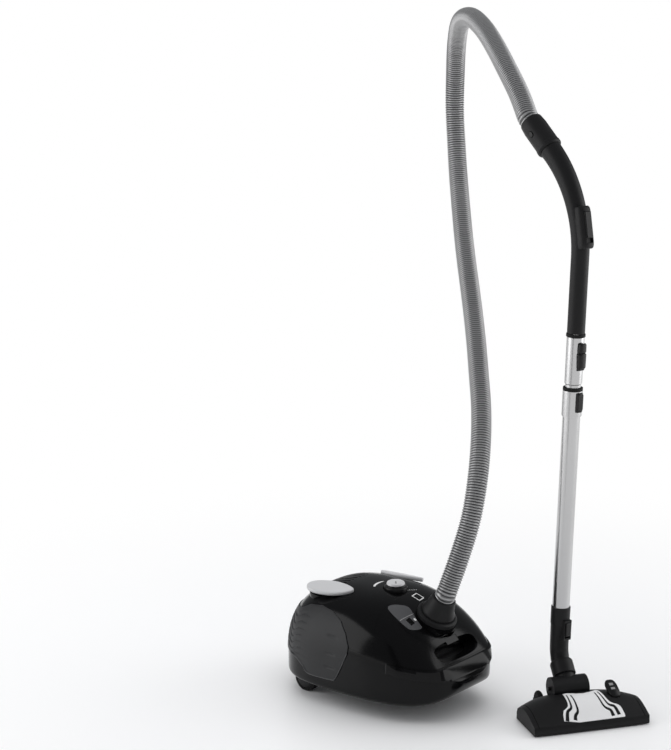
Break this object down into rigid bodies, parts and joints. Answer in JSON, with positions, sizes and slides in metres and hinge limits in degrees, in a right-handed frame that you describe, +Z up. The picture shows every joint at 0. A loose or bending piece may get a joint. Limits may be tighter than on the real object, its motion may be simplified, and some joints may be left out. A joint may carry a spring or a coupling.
{
  "type": "canister vacuum cleaner",
  "caption": "Canister vacuum cleaner on wheels with ribbed suction hose, handle, telescopic tube and floor head with foot pedal.",
  "frame": {"origin": "centre of the footprint of everything but the hose, on the floor", "axes": "+Z up, the canister's front with its hose inlet faces -Y, its right side in travel is -X"},
  "size_m": [0.7065, 0.7672, 1.337],
  "materials": {
    "gloss_black": "piano-black gloss",
    "matte_black": "fine satin texture",
    "grille_grey": "matte, louvred",
    "silver_paint": "satin silver paint on plastic",
    "panel_grey": "satin",
    "window_dark": "gloss tinted window",
    "tube_metal": "brushed",
    "hose_grey": "fine ribs",
    "rubber_black": "matte",
    "tyre_grey": "matte",
    "bag_paper": "paper",
    "filter_foam": "non-woven",
    "motor_steel": "brushed",
    "board_green": "solder mask",
    "bristle_black": "bristle",
    "sole_steel": "polished sheet"
  },
  "bodies": {
    "canister": {"lower_shell": "gloss_black", "rear_cover": "gloss_black", "bumper": "gloss_black", "side_grille_left": "grille_grey", "side_grille_right": "grille_grey", "exhaust_grille": "matte_black", "cord_outlet": "matte_black", "chamber_wall": "matte_black", "motor_filter": "filter_foam", "dust_bag": "bag_paper", "bag_holder": "matte_black", "motor_housing": "matte_black", "motor_seal": "rubber_black", "motor_stator": "motor_steel", "reel_axle": "motor_steel", "exhaust_filter": "filter_foam", "control_board": "board_green", "hose_lower": "hose_grey", "hose_upper": "hose_grey"},
    "lid": {"lid": "gloss_black", "inlet_collar": "matte_black", "handle_frame": "matte_black", "indicator_panel": "panel_grey", "indicator_window": "window_dark"},
    "latch": {"lid_latch": "matte_black"},
    "hose_cuff": {"canister_cuff": "matte_black"},
    "power_pedal": {"power_pedal": "silver_paint"},
    "rewind_pedal": {"rewind_pedal": "silver_paint"},
    "knob": {"suction_knob": "silver_paint"},
    "fan": {"motor_fan": "matte_black"},
    "reel": {"cord_reel": "matte_black"},
    "caster": {"caster_fork": "matte_black"},
    "caster_wheel": {"caster_wheel": "tyre_grey"},
    "wheel_left": {"rear_wheel_left": "silver_paint", "rear_tyre_left": "tyre_grey"},
    "wheel_right": {"rear_wheel_right": "silver_paint", "rear_tyre_right": "tyre_grey"},
    "handle": {"grip": "matte_black", "grip_ring": "matte_black", "inner_tube": "tube_metal"},
    "handle_cuff": {"handle_cuff": "matte_black"},
    "air_slider": {"air_slider": "matte_black"},
    "tube_lock": {"tube_lock": "matte_black"},
    "lower_wand": {"outer_tube": "tube_metal", "telescope_collar": "tube_metal", "telescope_ring": "matte_black", "elbow": "matte_black", "swivel_collar": "matte_black"},
    "telescope_slide": {"telescope_slide": "matte_black"},
    "elbow_lock": {"elbow_lock": "matte_black"},
    "neck": {"neck": "gloss_black"},
    "head": {"head_cover": "matte_black", "sole_plate": "sole_steel", "head_trim": "silver_paint", "neck_axle": "tube_metal"},
    "neck_wheels": {"neck_wheel_left": "rubber_black", "neck_wheel_right": "rubber_black"},
    "head_pedal": {"head_pedal": "panel_grey"},
    "brushes": {"brush_strip_front": "bristle_black", "brush_strip_rear": "bristle_black"}
  },
  "joints": [
    {"name": "lid_hinge", "type": "hinge", "parent": "canister", "child": "lid", "pos_m": [-0.0406, 0.0954, 0.212], "axis": [-1, 0, 0], "range_deg": [0, 55], "deforming": ["hose_lower"]},
    {"name": "latch_slide", "type": "slide", "parent": "lid", "child": "latch", "axis": [0, 0, -1], "range_m": [0, 0.003], "stiffness_N_per_m": 600},
    {"name": "hose_cuff_swivel", "type": "hinge", "parent": "lid", "child": "hose_cuff", "pos_m": [-0.0406, 0.0204, 0.185], "axis": [0, -0.407, 0.9134], "continuous": true},
    {"name": "power_pedal_press", "type": "hinge", "parent": "canister", "child": "power_pedal", "pos_m": [-0.10324, 0.17997, 0.2165], "axis": [-0.8767, -0.3542, -0.3256], "range_deg": [0, 3], "stiffness_Nm_per_rad": 8},
    {"name": "rewind_pedal_press", "type": "hinge", "parent": "canister", "child": "rewind_pedal", "pos_m": [0.05622, 0.12888, 0.208], "axis": [-0.9418, -0.1324, 0.309], "range_deg": [0, 3], "stiffness_Nm_per_rad": 8},
    {"name": "suction_knob_turn", "type": "hinge", "parent": "canister", "child": "knob", "pos_m": [-0.0406, 0.1234, 0.2135], "axis": [0, 0, 1], "range_deg": [-135, 135]},
    {"name": "fan_spin", "type": "hinge", "parent": "canister", "child": "fan", "pos_m": [-0.0806, 0.1454, 0.112], "axis": [0, 1, 0], "continuous": true},
    {"name": "reel_spin", "type": "hinge", "parent": "canister", "child": "reel", "pos_m": [0.0214, 0.2204, 0.112], "axis": [1, 0, 0], "continuous": true},
    {"name": "caster_swivel", "type": "hinge", "parent": "canister", "child": "caster", "pos_m": [-0.0406, 0.0204, 0], "axis": [0, 0, 1], "continuous": true},
    {"name": "caster_roll", "type": "hinge", "parent": "caster", "child": "caster_wheel", "pos_m": [-0.0406, 0.0264, 0.016], "axis": [1, 0, 0], "continuous": true},
    {"name": "wheel_left_roll", "type": "hinge", "parent": "canister", "child": "wheel_left", "pos_m": [0.0654, 0.2634, 0.026], "axis": [1, 0, 0], "continuous": true},
    {"name": "wheel_right_roll", "type": "hinge", "parent": "canister", "child": "wheel_right", "pos_m": [-0.1466, 0.2634, 0.026], "axis": [1, 0, 0], "continuous": true},
    {"name": "handle_lift", "type": "slide", "parent": "canister", "child": "handle", "axis": [0.0156, -0.0211, 0.9997], "range_m": [0, 0.3], "deforming": ["hose_upper"]},
    {"name": "handle_cuff_swivel", "type": "hinge", "parent": "handle", "child": "handle_cuff", "pos_m": [0.14716, -0.09446, 1.09049], "axis": [0.1758, 0.7458, 0.6425], "continuous": true},
    {"name": "air_slider_slide", "type": "slide", "parent": "handle", "child": "air_slider", "axis": [-0.0624, -0.195, -0.9788], "range_m": [0, 0.0095]},
    {"name": "tube_lock_press", "type": "slide", "parent": "handle", "child": "tube_lock", "axis": [0.2135, 0.9768, 0.0173], "range_m": [0, 0.003], "stiffness_N_per_m": 500},
    {"name": "telescope", "type": "slide", "parent": "handle", "child": "lower_wand", "axis": [-0.0156, 0.0211, -0.9997], "range_m": [0, 0.3]},
    {"name": "telescope_slide_press", "type": "slide", "parent": "lower_wand", "child": "telescope_slide", "axis": [-0.0156, 0.0211, -0.9997], "range_m": [0, 0.004], "stiffness_N_per_m": 500},
    {"name": "elbow_lock_press", "type": "slide", "parent": "lower_wand", "child": "elbow_lock", "axis": [-0.0156, 0.0211, -0.9997], "range_m": [0, 0.004], "stiffness_N_per_m": 500},
    {"name": "elbow_swivel", "type": "hinge", "parent": "lower_wand", "child": "neck", "pos_m": [0.09402, -0.20103, 0.051], "axis": [0.3927, 0.588, 0.7071], "range_deg": [-70, 70]},
    {"name": "neck_tilt", "type": "hinge", "parent": "neck", "child": "head", "pos_m": [0.09402, -0.20103, 0.051], "axis": [0.8316, -0.5554, 0], "range_deg": [-10, 45]},
    {"name": "neck_wheels_roll", "type": "hinge", "parent": "head", "child": "neck_wheels", "pos_m": [0.11068, -0.17608, 0.018], "axis": [0.8316, -0.5554, 0], "continuous": true},
    {"name": "head_pedal_press", "type": "hinge", "parent": "head", "child": "head_pedal", "pos_m": [0.12646, -0.29218, 0.04336], "axis": [-0.8316, 0.5554, 0], "range_deg": [0, 3.51]},
    {"name": "brush_lift", "type": "slide", "parent": "head", "child": "brushes", "axis": [0, 0, 1], "range_m": [0, 0.005]}
  ],
  "couplings": [
    {"joint": "telescope", "follows": "handle_lift", "ratio": 1},
    {"joint": "head_pedal_press", "follows": "brush_lift", "rad_per_m": 12.217}
  ]
}
